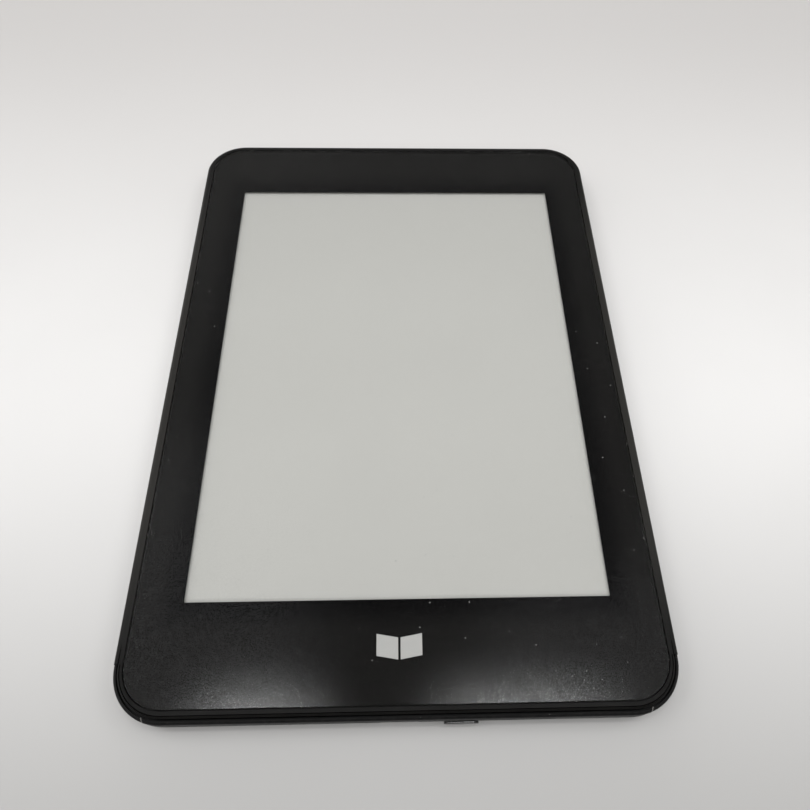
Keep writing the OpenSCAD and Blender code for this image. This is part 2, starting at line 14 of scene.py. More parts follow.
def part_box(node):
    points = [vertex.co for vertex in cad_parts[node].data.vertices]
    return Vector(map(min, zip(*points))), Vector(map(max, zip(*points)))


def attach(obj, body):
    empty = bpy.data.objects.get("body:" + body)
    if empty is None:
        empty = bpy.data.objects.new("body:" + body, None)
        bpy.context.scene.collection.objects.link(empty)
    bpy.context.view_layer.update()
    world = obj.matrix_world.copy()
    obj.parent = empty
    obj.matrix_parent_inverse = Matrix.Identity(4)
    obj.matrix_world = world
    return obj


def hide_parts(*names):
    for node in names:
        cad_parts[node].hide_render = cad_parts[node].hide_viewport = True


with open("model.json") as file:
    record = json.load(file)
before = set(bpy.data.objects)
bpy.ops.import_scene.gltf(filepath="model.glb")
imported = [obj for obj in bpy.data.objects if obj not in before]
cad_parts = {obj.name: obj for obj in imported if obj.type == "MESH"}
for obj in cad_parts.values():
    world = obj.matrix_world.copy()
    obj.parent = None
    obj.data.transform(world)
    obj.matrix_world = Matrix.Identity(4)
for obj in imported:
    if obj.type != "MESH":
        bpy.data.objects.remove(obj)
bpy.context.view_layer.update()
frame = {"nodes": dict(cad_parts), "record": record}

MM = 0.001


def span(node):
    """Lowest and highest corner of a CAD node, in millimetres."""
    lo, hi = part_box(node)
    return lo / MM, hi / MM


# ---- Sizes, in millimetres ----

cover_lo, cover_hi = span("rear_cover")
rim_lo, rim_hi = span("front_frame")
lens_lo, lens_hi = span("front_lens")
print_lo = span("lens_border_print")[0]
shell_lo, shell_hi = span("usb_shell")
cap_lo, cap_hi = span("power_button")

# Case: corner radius, rounded edges round the back and the front, wall and floor, and the seam
CASE_R = 11.0
BACK_R = 4.0
FRONT_R = 1.0
WALL = 1.3
FLOOR_T = 1.0
INNER_R = BACK_R - WALL
BOTTOM_Y = cover_lo.y
RIM_Z = rim_hi.z
SEAM_Z = 6.0
SEAM_GAP = 0.1
SEAM_R = 0.12

# Bottom end: the cover's lip, the front frame's set-in chin, and the crease beside its rounded edge
LIP_Z = cover_hi.z
LIP_W = 0.6
LIP_R = 0.55
CHIN_L = 11.4
CHIN_Y = BOTTOM_Y + CHIN_L
CHIN_INSET = 1.1
CHIN_R = 0.35
CHIN_SPLIT = 0.4
CREASE_W = 0.1
CREASE_D = 0.24
CREASE_END = 5.0
CREASE_FADE = 4.0
CREASE_STEP = 0.02
RIB_X = 50.7

# Front frame: the gap and broken edge round the lens, its ledge, its opening and its tongue
LENS_GAP = 0.15
LENS_R = 8.8
LENS_EDGE = 0.15
RIM_BREAK = 0.06
LEDGE_Z = print_lo.z - 0.2
LEDGE_LOW = 5.6
OPENING_W = 101.0
OPENING_L = 140.6
OPENING_R = 2.0
OPENING_Y = -1.5
TONGUE_OUT = WALL + 0.2
TONGUE_IN = 2.7

# Seal ledge inside the rear cover
SEAL_LOW = 3.6
SEAL_TOP = 4.4
SEAL_IN = 2.6
SEAL_SLOPE = 0.15

# Screen window
SCREEN_W = 91.5
SCREEN_L = 123.5
SCREEN_Y = 2.3

# Power button, its flange, the nub behind it and the pocket that holds it
BUTTON_W = 7.1
BUTTON_H = 2.0
BUTTON_X = (cap_lo.x + cap_hi.x) / 2
BUTTON_Z = (cap_lo.z + cap_hi.z) / 2
BUTTON_GAP = 0.15
BUTTON_EDGE = 0.16
BUTTON_CROWN = 0.04
FLANGE_T = 0.5
NUB_W = 1.6
NUB_H = 1.2
NUB_L = 0.4
FLANGE_Y = cap_hi.y - NUB_L - FLANGE_T
FLANGE_W = BUTTON_W + 1.5
FLANGE_H = BUTTON_H + 0.5
POCKET_W = FLANGE_W + 0.6
POCKET_L = 4.0
POCKET_H = FLANGE_H + 0.2
POCKET_Y = BOTTOM_Y + 1.8

# Charging port and charge light
PORT_Z = (shell_lo.z + shell_hi.z) / 2
PORT_HOLE_W = 8.3
PORT_HOLE_H = 3.3
PORT_HOLE_R = 0.7
PORT_WALL = 0.3
LIGHT_X = 6.3
LIGHT_R = 0.5

# Where the holes in the bottom wall begin and end
CUT_OUT_Y = BOTTOM_Y - 1
CUT_IN_Y = -79

# Broken edge of the CAD nodes, and how far coinciding faces are kept apart
EDGE_BREAK = 0.04
HAIR = 0.01


# ---- Meshes ----

SHARP = math.radians(32)


def shade_smooth(mesh):
    """Smooth shading but for edges sharper than SHARP."""
    mesh.polygons.foreach_set("use_smooth", [True] * len(mesh.polygons))
    mesh.set_sharp_from_angle(angle=SHARP)


def new_object(name, bm, materials):
    """Mesh object from a bmesh in millimetres, smooth but for its sharp edges."""
    bmesh.ops.remove_doubles(bm, verts=bm.verts, dist=1e-5)
    bmesh.ops.dissolve_degenerate(bm, edges=bm.edges, dist=1e-6)
    bmesh.ops.recalc_face_normals(bm, faces=bm.faces)
    bmesh.ops.scale(bm, vec=(MM, MM, MM), verts=bm.verts)
    mesh = bpy.data.meshes.new(name)
    bm.to_mesh(mesh)
    bm.free()
    shade_smooth(mesh)
    for material in materials:
        mesh.materials.append(material)
    ob = bpy.data.objects.new(name, mesh)
    bpy.context.scene.collection.objects.link(ob)
    return ob


def even_normals(ob):
    """Lets the large flat faces set the normals, so that they shade flat up to their rounded edges."""
    mod = ob.modifiers.new("normals", "WEIGHTED_NORMAL")
    mod.keep_sharp = True


def loft(bm, rings, closed=False):
    """Quads between rings of points. An open loft gets a cap at each end, a closed one meets itself."""
    rows = [[bm.verts.new(p) for p in ring] for ring in rings]
    pairs = list(zip(rows, rows[1:]))
    if closed:
        pairs.append((rows[-1], rows[0]))
    else:
        bm.faces.new(rows[0])
        bm.faces.new(rows[-1][::-1])
    for a, b in pairs:
        for i in range(len(a)):
            j = (i + 1) % len(a)
            bm.faces.new((a[i], a[j], b[j], b[i]))


# Length over which an outline steps from the chin's inset to its own
SPLIT = 1e-4


class Outline:
    """Rounded rectangle as stations, each a corner centre and an outward direction, so it can be set in.

    marks adds stations along both sides, as shares of their length. chin_y splits the sides: what lies
    below it is the chin, and takes an inset and a height of its own.
    """

    def __init__(self, width, length, radius, mid_y, chin_y=None, arc=20, marks=()):
        self.radius = radius
        self.stations = []
        x = width / 2 - radius
        y = length / 2 - radius
        corners = [(x, mid_y - y, -90), (x, mid_y + y, 0), (-x, mid_y + y, 90), (-x, mid_y - y, 180)]
        for k, (cx, cy, start) in enumerate(corners):
            low = chin_y is not None and k in (0, 3)
            for i in range(arc + 1):
                a = math.radians(start + 90 * i / arc)
                self.stations.append((cx, cy, math.cos(a), math.sin(a), low))
            if k in (0, 2):
                side = 1 if k == 0 else -1
                points = [(mid_y - y + f * 2 * y, False) for f in marks]
                if chin_y is not None:
                    points += [(chin_y, True), (chin_y + SPLIT, False)]
                points.sort(reverse=k == 2)
                self.stations += [(side * x, at, side, 0.0, low) for at, low in points]

    def ring(self, inset, z, chin=None):
        """Points at an inset and a height. The height may be a function of the station's Y."""
        points = []
        for cx, cy, nx, ny, low in self.stations:
            d, h = chin if low and chin else (inset, z)
            h = h(cy) if callable(h) else h
            out = self.radius - d
            points.append(Vector((cx + nx * out, cy + ny * out, h)))
        return points


def edge_arc(radius, inset, top, steps=6):
    """Insets and heights of a rounded upper edge, from its side to its top."""
    angles = [math.radians(90 * i / steps) for i in range(steps + 1)]
    return [(inset + radius * (1 - math.cos(a)), top - radius * (1 - math.sin(a))) for a in angles]


def pill(width, height, x, y, z, arc=12):
    """Points round a pill that lies along X, in a plane of constant Y."""
    r = height / 2
    out = []
    for side, start in ((1, -90), (-1, 90)):
        for i in range(arc + 1):
            a = math.radians(start + 180 * i / arc)
            out.append(Vector((x + side * (width / 2 - r) + r * math.cos(a), y, z + r * math.sin(a))))
    return out


def bevelled(ob, width):
    """Rounds a piece's hard edges by a small width."""
    mod = ob.modifiers.new("edges", "BEVEL")
    mod.width = width * MM
    mod.segments = 2
    mod.limit_method = "ANGLE"
    mod.angle_limit = SHARP
    mod.harden_normals = True


def cut(ob, cutters):
    """Takes closed cutters out of a piece and removes them."""
    for cutter in cutters:
        mod = ob.modifiers.new("cut", "BOOLEAN")
        mod.operation = "DIFFERENCE"
        mod.solver = "EXACT"
        mod.object = cutter
    graph = bpy.context.evaluated_depsgraph_get()
    mesh = bpy.data.meshes.new_from_object(ob.evaluated_get(graph))
    ob.modifiers.clear()
    ob.data = mesh
    shade_smooth(mesh)
    for cutter in cutters:
        bpy.data.objects.remove(cutter)


def prism(name, ring_a, ring_b):
    """Closed cutter between two rings."""
    bm = bmesh.new()
    loft(bm, [ring_a, ring_b])
    return new_object(name, bm, [])


# ---- Materials ----

class Surface:
    """A material in the making: its Principled shader, and short ways to add the nodes that feed it."""

    def __init__(self, name, colour, roughness, **inputs):
        self.material = bpy.data.materials.new(name)
        self.material.use_nodes = True
        self.tree = self.material.node_tree
        self.shader = self.tree.nodes["Principled BSDF"]
        self.shader.inputs["Base Color"].default_value = (*colour, 1.0)
        self.shader.inputs["Roughness"].default_value = roughness
        for key, value in inputs.items():
            self.shader.inputs[key.replace("_", " ")].default_value = value
        self.place = self.node("ShaderNodeTexCoord").outputs["Object"]

    def node(self, kind, links=None, **settings):
        node = self.tree.nodes.new(kind)
        for key, value in settings.items():
            setattr(node, key, value)
        for key, value in (links or {}).items():
            self.feed(node.inputs[key], value)
        return node

    def feed(self, socket, value):
        if isinstance(value, bpy.types.NodeSocket):
            self.tree.links.new(value, socket)
        else:
            socket.default_value = value

    def stretched(self, x, y, z):
        """The place with each axis scaled, so that a noise grows longer where its factor is small."""
        links = {0: self.place, 1: (x, y, z)}
        return self.node("ShaderNodeVectorMath", links, operation="MULTIPLY").outputs[0]

    def noise(self, size, detail=2.0, rough=0.5, place=None, distortion=0.0):
        """Noise whose blobs are about size millimetres across."""
        links = {"Vector": place or self.place, "Scale": 1 / (size * MM)}
        links.update({"Detail": detail, "Roughness": rough, "Distortion": distortion})
        return self.node("ShaderNodeTexNoise", links).outputs["Fac"]

    def specks(self, cell, radius):
        """1 in small round specks on an upright face, one to a cell, else 0."""
        links = {"Vector": self.place, "Scale": 1 / (cell * MM)}
        spots = self.node("ShaderNodeTexVoronoi", links, voronoi_dimensions="2D").outputs["Distance"]
        return self.band(spots, radius / cell, 0.6 * radius / cell)

    def band(self, value, start, end, low=0.0, high=1.0, kind="SMOOTHSTEP"):
        """value from start to end turned smoothly into low to high."""
        links = {"Value": value, "From Min": start, "From Max": end, "To Min": low, "To Max": high}
        return self.node("ShaderNodeMapRange", links, interpolation_type=kind).outputs["Result"]

    def spread(self, noise, low=0.0, high=1.0):
        """A noise, which mostly lies between 0.3 and 0.7, spread over low to high."""
        return self.band(noise, 0.3, 0.7, low, high)

    def maths(self, operation, a, b=0.0):
        return self.node("ShaderNodeMath", {0: a, 1: b}, operation=operation).outputs[0]

    def plus(self, a, b):
        return self.maths("ADD", a, b)

    def minus(self, a, b):
        return self.maths("SUBTRACT", a, b)

    def times(self, a, b):
        return self.maths("MULTIPLY", a, b)

    def most(self, a, b):
        return self.maths("MAXIMUM", a, b)

    def mixed(self, factor, a, b):
        node = self.node("ShaderNodeMix", data_type="RGBA")
        self.feed(node.inputs[0], factor)
        for socket, value in ((6, a), (7, b)):
            self.feed(node.inputs[socket], (*value, 1.0) if isinstance(value, tuple) else value)
        return node.outputs[2]

    def paint(self, colour):
        self.feed(self.shader.inputs["Base Color"], colour)

    def gloss(self, value):
        self.feed(self.shader.inputs["Roughness"], value)

    def bump(self, height, depth, normal=None):
        """Bump of a height field whose full range stands for depth millimetres."""
        links = {"Height": height, "Distance": depth * MM, "Strength": 1.0}
        if normal:
            links["Normal"] = normal
        return self.node("ShaderNodeBump", links).outputs["Normal"]

    def relief(self, normal):
        self.feed(self.shader.inputs["Normal"], normal)

    def axis(self, name):
        return self.node("ShaderNodeSeparateXYZ", {0: self.place}).outputs[name]

    def off_centre(self, name):
        """Distance from the middle of the object along an axis."""
        return self.maths("ABSOLUTE", self.axis(name))

    def end_with(self, shader):
        """Puts another shader in the Principled one's place."""
        self.tree.links.new(shader.outputs[0], self.tree.nodes["Material Output"].inputs["Surface"])
        self.tree.nodes.remove(self.shader)


def shade(colour, factor):
    return tuple(c * factor for c in colour)


def moulded(name, colour, roughness, grain=0.12, depth=0.004, wander=0.06, **inputs):
    """Moulded plastic: fine grain, faint cloudiness and uneven gloss."""
    s = Surface(name, colour, roughness, **inputs)
    fine = s.noise(grain, 3.0)
    cloud = s.noise(14.0, 2.0)
    s.paint(s.mixed(s.spread(cloud), shade(colour, 0.9), shade(colour, 1.12)))
    s.gloss(s.plus(s.spread(fine, -wander, wander), roughness))
    s.relief(s.bump(fine, depth))
    return s.material


def metal(name, colour, roughness, stretch=(1.0, 12.0, 12.0), **inputs):
    """Rolled or plated metal with drawn grain and slight stains."""
    s = Surface(name, colour, roughness, Metallic=1.0, **inputs)
    grain = s.noise(0.6, 4.0, 0.6, s.stretched(*stretch))
    stain = s.noise(5.0, 3.0)
    s.paint(s.mixed(s.band(stain, 0.35, 0.75), colour, shade(colour, 0.78)))
    s.gloss(s.plus(s.spread(grain, -0.07, 0.09), roughness))
    s.relief(s.bump(grain, 0.004))
    return s.material


def rubber(name, colour):
    """Matt moulded rubber with a bloom and fine dust."""
    s = Surface(name, colour, 0.7, Sheen_Weight=0.15, Sheen_Roughness=0.5)
    bloom = s.noise(1.4, 4.0)
    dust = s.specks(0.5, 0.04)
    s.paint(s.mixed(s.most(s.band(bloom, 0.4, 0.8), dust), colour, shade(colour, 2.2)))
    s.relief(s.bump(s.noise(0.08, 3.0), 0.006))
    return s.material


def chip_epoxy():
    """Moulded chip package: matt black, sandy, with a faint lighter bloom."""
    colour = (0.018, 0.018, 0.02)
    s = Surface("chip_epoxy", colour, 0.52)
    sand = s.noise(0.1, 4.0, 0.7)
    s.paint(s.mixed(s.band(s.noise(2.5, 3.0), 0.4, 0.8), colour, shade(colour, 1.9)))
    s.gloss(s.spread(sand, 0.44, 0.62))
    s.relief(s.bump(sand, 0.008))
    return s.material


def solder_mask():
    """Green circuit board: solder mask over traces and vias."""
    mask = (0.012, 0.085, 0.045)
    s = Surface("solder_mask", mask, 0.32, Coat_Weight=0.3, Coat_Roughness=0.2)
    lanes = s.node("ShaderNodeTexWave", {"Vector": s.place, "Scale": 1 / (2.2 * MM), "Distortion": 6.0,
                                         "Detail": 1.0, "Detail Scale": 0.6})
    traces = s.band(lanes.outputs["Fac"], 0.55, 0.62)
    vias = s.specks(1.8, 0.22)
    copper = s.mixed(traces, mask, (0.02, 0.16, 0.075))
    s.paint(s.mixed(vias, copper, (0.55, 0.48, 0.3)))
    s.relief(s.bump(s.plus(traces, vias), 0.03))
    return s.material


def flex_circuit():
    """Amber polyimide with copper traces that run along it."""
    film = (0.33, 0.15, 0.02)
    s = Surface("flex_circuit", film, 0.3, Coat_Weight=0.4, Coat_Roughness=0.15)
    wave = s.node("ShaderNodeTexWave", {"Vector": s.place, "Scale": 1 / (3.2 * MM), "Distortion": 0.3},
                  bands_direction="X")
    traces = s.band(wave.outputs["Fac"], 0.45, 0.6)
    s.paint(s.mixed(traces, film, (0.5, 0.26, 0.07)))
    s.gloss(s.spread(s.noise(1.2, 3.0), 0.22, 0.4))
    s.relief(s.bump(traces, 0.02))
    return s.material


def pouch_foil():
    """Battery pouch: dull aluminium laminate with soft wrinkles."""
    colour = (0.2, 0.205, 0.215)
    s = Surface("pouch_foil", colour, 0.34, Metallic=0.75)
    wrinkle = s.noise(9.0, 5.0, 0.55, s.stretched(1.0, 1.6, 1.0), 1.2)
    scuff = s.noise(0.7, 3.0, 0.6, s.stretched(6.0, 1.0, 1.0))
    s.paint(s.mixed(s.band(scuff, 0.45, 0.75), colour, shade(colour, 1.35)))
    s.gloss(s.spread(scuff, 0.28, 0.42))
    s.relief(s.bump(wrinkle, 0.5, s.bump(scuff, 0.01)))
    return s.material


def foam(name, colour, pore=0.35):
    """Open-cell foam: painted shade darkens the pores between lighter cell walls."""
    s = Surface(name, colour, 0.9)
    links = {"Vector": s.place, "Scale": 1 / (pore * MM)}
    cells = s.node("ShaderNodeTexVoronoi", links).outputs["Distance"]
    # Painted shade in the pores: the colour is darker near each cell's centre.
    s.paint(s.mixed(s.band(cells, 0.1, 0.6), shade(colour, 0.4), shade(colour, 1.3)))
    s.relief(s.bump(cells, 0.15))
    return s.material


def wire_jacket():
    """Silicone wire jacket with dust on it."""
    colour = (0.34, 0.012, 0.01)
    s = Surface("wire_jacket", colour, 0.45, Sheen_Weight=0.2)
    dust = s.noise(0.3, 4.0, 0.7)
    s.paint(s.mixed(s.band(dust, 0.55, 0.8, 0.0, 0.5), colour, (0.45, 0.2, 0.17)))
    s.gloss(s.spread(dust, 0.38, 0.6))
    s.relief(s.bump(s.noise(0.4, 2.0, 0.5, s.stretched(1.0, 0.2, 1.0)), 0.02))
    return s.material


def soft_touch():
    """Rear cover: soft-touch coat, finely grained, a little polished and dusty along its edges, with
    painted shade that darkens it towards the lip.
    """
    colour = (0.0052, 0.0052, 0.0054)
    s = Surface("soft_touch", colour, 0.55, Sheen_Weight=0.02, Sheen_Roughness=0.6, Specular_IOR_Level=0.22)
    grain = s.noise(0.16, 3.0, 0.6)
    smear = s.noise(24.0, 3.0, 0.5, None, 0.8)
    height = s.axis("Z")
    edge = s.band(height, 5.2 * MM, LIP_Z * MM)
    rubbed = s.times(edge, s.band(s.noise(0.9, 4.0, 0.65), 0.35, 0.75))
    open_base = s.mixed(s.spread(smear), shade(colour, 0.9), shade(colour, 1.12))
    # Painted shade: the cover is darkened to a third of its colour towards the lip.
    base = s.mixed(s.band(height, 5.6 * MM, 7.0 * MM), open_base, shade(colour, 0.3))
    worn = s.mixed(s.times(rubbed, 0.07), base, (0.085, 0.078, 0.076))
    dust = s.band(s.noise(0.5, 1.0), 0.76, 0.82)
    s.paint(s.mixed(s.times(dust, 0.2), worn, (0.4, 0.39, 0.37)))
    s.gloss(s.plus(s.spread(smear, 0.5, 0.6), s.spread(grain, -0.05, 0.05)))
    s.relief(s.bump(grain, 0.006))
    return s.material


def rim_satin():
    """Front frame: satin moulded rim, brownish black, with fine scuffs; painted light makes it lighter
    along the middle of its sides and painted shade darker towards both ends.
    """
    dark, painted_lit_middle = (0.0030, 0.0029, 0.0027), (0.0225, 0.0215, 0.0195)
    s = Surface("rim_satin", painted_lit_middle, 0.42, Specular_IOR_Level=0.15)
    grain = s.noise(0.22, 3.0, 0.7)
    streak = s.noise(0.8, 3.0, 0.6, s.stretched(1.0, 0.12, 1.0))
    scuff = s.times(s.band(grain, 0.5, 0.8), s.band(streak, 0.5, 0.75))
    # Painted light and shade: the rim's colour goes from lighter along the middle of the sides to darker
    # towards both ends.
    along = s.off_centre("Y")
    base = s.mixed(s.band(along, 35 * MM, 76 * MM), painted_lit_middle, dark)
    cloudy = s.mixed(s.spread(s.noise(9.0, 2.0)), base, s.mixed(0.05, base, (0.05, 0.048, 0.044)))
    scuffed = s.mixed(s.times(scuff, 0.25), cloudy, (0.07, 0.066, 0.06))
    # The ribs near the lower corners are painted a light grey.
    s.paint(s.mixed(rib_line(s), scuffed, (0.2, 0.195, 0.185)))
    s.gloss(s.spread(grain, 0.34, 0.5))
    s.relief(s.bump(grain, 0.012))
    return s.material


def rib_line(s):
    """1 on the ribs that cross the groove near the lower corners, which are painted a light grey, else 0.
    """
    away = s.maths("ABSOLUTE", s.minus(s.off_centre("X"), RIB_X * MM))
    near = s.band(away, 0.9 * MM, 0.6 * MM)
    return s.times(near, s.band(s.axis("Y"), (BOTTOM_Y + 1.6) * MM, (BOTTOM_Y + 1.4) * MM))


def window_distance(s):
    """Distance outside the screen's window, in metres, negative inside it."""
    along = s.maths("ABSOLUTE", s.minus(s.axis("Y"), SCREEN_Y * MM))
    beyond_x = s.minus(s.off_centre("X"), SCREEN_W / 2 * MM)
    beyond_y = s.minus(along, SCREEN_L / 2 * MM)
    return s.most(beyond_x, beyond_y)


def border_ink():
    """Black border printed behind the lens, with painted shade that darkens it beside the screen."""
    colour = (0.0072, 0.0070, 0.0067)
    s = Surface("border_ink", colour, 0.6, Specular_IOR_Level=0.0)
    # Painted shade: the border is darkened close to the screen's window.
    painted_shade_by_window = s.band(window_distance(s), 0.5 * MM, 7.5 * MM)
    blotch = s.spread(s.noise(22.0, 2.0))
    even = s.mixed(blotch, shade(colour, 0.94), shade(colour, 1.08))
    s.paint(s.mixed(painted_shade_by_window, (0.0008, 0.0008, 0.0010), even))
    s.gloss(s.spread(s.noise(0.3, 3.0), 0.55, 0.68))
    return s.material


def epaper():
    """Unlit e-paper: warm-grey capsules with a paper-like grain, faint clouds, and painted shade that makes
    it slightly darker towards both ends.
    """
    colour = (0.612, 0.610, 0.586)
    s = Surface("epaper", colour, 0.75, Specular_IOR_Level=0.1)
    capsule = s.noise(0.13, 3.0, 0.7)
    cloud = s.noise(26.0, 2.0)
    along = s.off_centre("Y")
    # Painted shade: the paper is darkened towards its top and bottom ends.
    veil_and_painted_shade = s.band(along, 22 * MM, 60 * MM, 0.0, 1.0, "LINEAR")
    calm = s.mixed(s.spread(cloud), shade(colour, 0.985), shade(colour, 1.01))
    grainy = s.mixed(s.band(capsule, 0.2, 0.8), shade(colour, 0.95), calm)
    s.paint(s.mixed(veil_and_painted_shade, grainy, shade(colour, 0.93)))
    s.relief(s.bump(capsule, 0.004))
    return s.material


def mark_ink():
    """Light grey screen print, slightly uneven."""
    colour = (0.50, 0.50, 0.49)
    s = Surface("mark_ink", colour, 0.55, Specular_IOR_Level=0.0)
    s.paint(s.mixed(s.spread(s.noise(0.2, 3.0, 0.7)), shade(colour, 0.88), shade(colour, 1.04)))
    return s.material


# Share of light that the lens mirrors when seen head on
HEAD_ON = 0.037


def matt_reflection(s):
    """Clear sheet with the sparkling reflection of an anti-glare finish, stronger at a low angle."""
    sparkle = s.noise(0.2, 2.0, 0.7)
    normal = s.bump(sparkle, 0.007)
    rough = s.spread(sparkle, 0.142, 0.168)
    glint = s.mixed(s.band(s.noise(0.36, 1.0), 0.35, 0.65), (0.35, 0.35, 0.35), (1, 1, 1))
    links = {"Color": glint, "Roughness": rough, "Normal": normal}
    gloss = s.node("ShaderNodeBsdfGlossy", links, distribution="BECKMANN")
    clear = s.node("ShaderNodeBsdfTransparent", {"Color": (0.985, 0.985, 0.98, 1)})
    facing = s.node("ShaderNodeLayerWeight", {"Blend": 0.5, "Normal": normal}).outputs["Facing"]
    share = s.band(s.maths("POWER", facing, 5.0), 0.0, 1.0, HEAD_ON, 1.0, "LINEAR")
    return s.node("ShaderNodeMixShader", {0: share, 1: clear.outputs[0], 2: gloss.outputs[0]})


def lens_dirt(s):
    """How much dust, thread and haze lies on the lens."""
    lint = s.noise(16.0, 5.0, 0.7, None, 3.0)
    thread = s.times(s.band(lint, 0.640, 0.646), s.band(lint, 0.652, 0.646))
    some = s.band(s.noise(31.0, 1.0), 0.38, 0.58)
    dust = s.times(s.specks(9.0, 0.18), some)
    dirt = s.most(dust, s.times(thread, 0.12))
    haze = s.spread(s.noise(30.0, 3.0), 0.001, 0.003)
    return s.plus(s.times(dirt, 0.3), haze)


def anti_glare():
    """Lens face: clear, with a matt reflection and a few specks."""
    s = Surface("anti_glare", (0.8, 0.8, 0.8), 0.5)
    face = matt_reflection(s)
    veil_and_painted_shade = s.node("ShaderNodeBsdfDiffuse", {"Color": (0.75, 0.75, 0.74, 1)})
    links = {0: lens_dirt(s), 1: face.outputs[0], 2: veil_and_painted_shade.outputs[0]}
    s.end_with(s.node("ShaderNodeMixShader", links))
    return s.material


def clear_sheet(name, tint, dots=0.0):
    """Bonded clear sheet: lets everything through but a faint pattern of dots."""
    s = Surface(name, (0.7, 0.7, 0.7), 0.4)
    clear = s.node("ShaderNodeBsdfTransparent", {"Color": (*tint, 1)})
    veil_and_painted_shade = s.node("ShaderNodeBsdfDiffuse", {"Color": (0.8, 0.82, 0.85, 1)})
    share = s.times(s.specks(0.45, 0.07), dots)
    s.end_with(s.node("ShaderNodeMixShader", {0: share, 1: clear.outputs[0], 2: veil_and_painted_shade.outputs[0]}))
    return s.material


def button_gloss():
    """Power button: glossy black lacquer, with fine scratches along it."""
    colour = (0.006, 0.006, 0.0065)
    s = Surface("button_gloss", colour, 0.2, Specular_IOR_Level=1.0)
    scratch = s.noise(0.25, 4.0, 0.7, s.stretched(0.15, 1.0, 1.0))
    s.paint(s.mixed(s.band(scratch, 0.5, 0.8), colour, (0.05, 0.05, 0.05)))
    s.gloss(s.spread(scratch, 0.15, 0.26))
    s.relief(s.bump(scratch, 0.003))
    return s.material


def diffuser(name, colour):
    """Milky light pipe or LED resin."""
    s = Surface(name, colour, 0.3, Subsurface_Weight=0.3, Subsurface_Scale=0.0005)
    milk = s.noise(0.3, 3.0)
    s.paint(s.mixed(s.spread(milk), shade(colour, 0.85), colour))
    s.gloss(s.spread(milk, 0.22, 0.4))
    return s.material


def backplane_glass():
    """Backplane: dark olive substrate with a fine grid of gate lines."""
    colour = (0.19, 0.22, 0.17)
    s = Surface("backplane_glass", colour, 0.25, Coat_Weight=0.5, Coat_Roughness=0.1)
    grid = 0.0
    for name in ("X", "Y"):
        phase = s.maths("PINGPONG", s.axis(name), 0.8 * MM)
        grid = s.most(grid, s.band(phase, 0.08 * MM, 0.05 * MM))
    s.paint(s.mixed(s.times(grid, 0.6), colour, (0.33, 0.34, 0.27)))
    s.gloss(s.spread(s.noise(3.0, 3.0), 0.2, 0.34))
    return s.material


def slot_materials():
    """The finished material of each slot in the record."""
    return {
        "lens_clear": anti_glare(),
        "border_ink": border_ink(),
        "mark_ink": mark_ink(),
        "gasket_black": foam("gasket_tape", (0.03, 0.03, 0.03), 0.2),
        "touch_film": clear_sheet("touch_film", (0.99, 0.99, 0.99), 0.02),
        "guide_clear": clear_sheet("guide_clear", (0.99, 0.992, 0.992), 0.04),
        "flex_amber": flex_circuit(),
        "led_white": diffuser("led_resin", (0.85, 0.8, 0.5)),
        "epaper_grey": epaper(),
        "backplane": backplane_glass(),
        "chip_black": chip_epoxy(),
        "foam_grey": foam("cushion_foam", (0.055, 0.055, 0.06)),
        "frame_satin": rim_satin(),
        "cover_soft": soft_touch(),
        "plate_metal": metal("plate_metal", (0.52, 0.53, 0.54), 0.38),
        "screw_steel": metal("screw_steel", (0.32, 0.33, 0.34), 0.3, (4.0, 4.0, 1.0)),
        "board_green": solder_mask(),
        "shield_metal": metal("shield_metal", (0.66, 0.66, 0.64), 0.3, (1.0, 6.0, 6.0)),
        "passive_tan": moulded("passive_tan", (0.36, 0.25, 0.13), 0.5, 0.1, 0.006),
        "port_steel": metal("port_steel", (0.62, 0.62, 0.62), 0.26, (6.0, 1.0, 6.0)),
        "port_plastic": moulded("port_plastic", (0.012, 0.012, 0.013), 0.45, 0.1, 0.004),
        "contact_gold": metal("contact_gold", (0.83, 0.6, 0.26), 0.24, (8.0, 1.0, 8.0)),
        "seal_rubber": rubber("seal_rubber", (0.014, 0.014, 0.014)),
        "button_gloss": button_gloss(),
        "switch_case": moulded("switch_case", (0.5, 0.49, 0.46), 0.4, 0.15, 0.006),
        "switch_black": moulded("switch_black", (0.02, 0.02, 0.02), 0.38, 0.15, 0.004),
        "light_diffuser": diffuser("light_diffuser", (0.6, 0.6, 0.56)),
        "battery_foil": pouch_foil(),
        "adhesive_white": moulded("adhesive_white", (0.62, 0.61, 0.57), 0.6, 0.5, 0.03),
        "wire_red": wire_jacket(),
        "connector_ivory": moulded("connector_ivory", (0.62, 0.56, 0.42), 0.4, 0.2, 0.006),
        "insulator_film": moulded("insulator_film", (0.03, 0.03, 0.032), 0.3, 3.0, 0.04),
    }


def dress_nodes(finish):
    """Gives each CAD node the finish of its slot, and small rounded edges."""
    for part in frame["record"]["subparts"]:
        ob = frame["nodes"][part["node"]]
        ob.data.materials.clear()
        ob.data.materials.append(finish[part["material_slot"]])
        if not ob.hide_render:
            bevelled(ob, EDGE_BREAK)


# ---- Pieces that replace CAD nodes ----

def placed(ob, slot, *nodes, body="housing"):
    """Puts a piece on its body in place of CAD nodes. Its slot is not used."""
    even_normals(ob)
    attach(ob, body)
    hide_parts(*nodes)
    return ob


# Stations along the sides, as shares of their straight length, close together near the bottom end
SIDE_MARKS = (0.005, 0.012, 0.02, 0.03, 0.045, 0.07, 0.12, 0.25, 0.5, 0.75, 0.9)


def case_outline():
    size = cover_hi - cover_lo
    mid_y = (cover_lo.y + cover_hi.y) / 2
    return Outline(size.x, size.y, CASE_R, mid_y, CHIN_Y, marks=SIDE_MARKS)


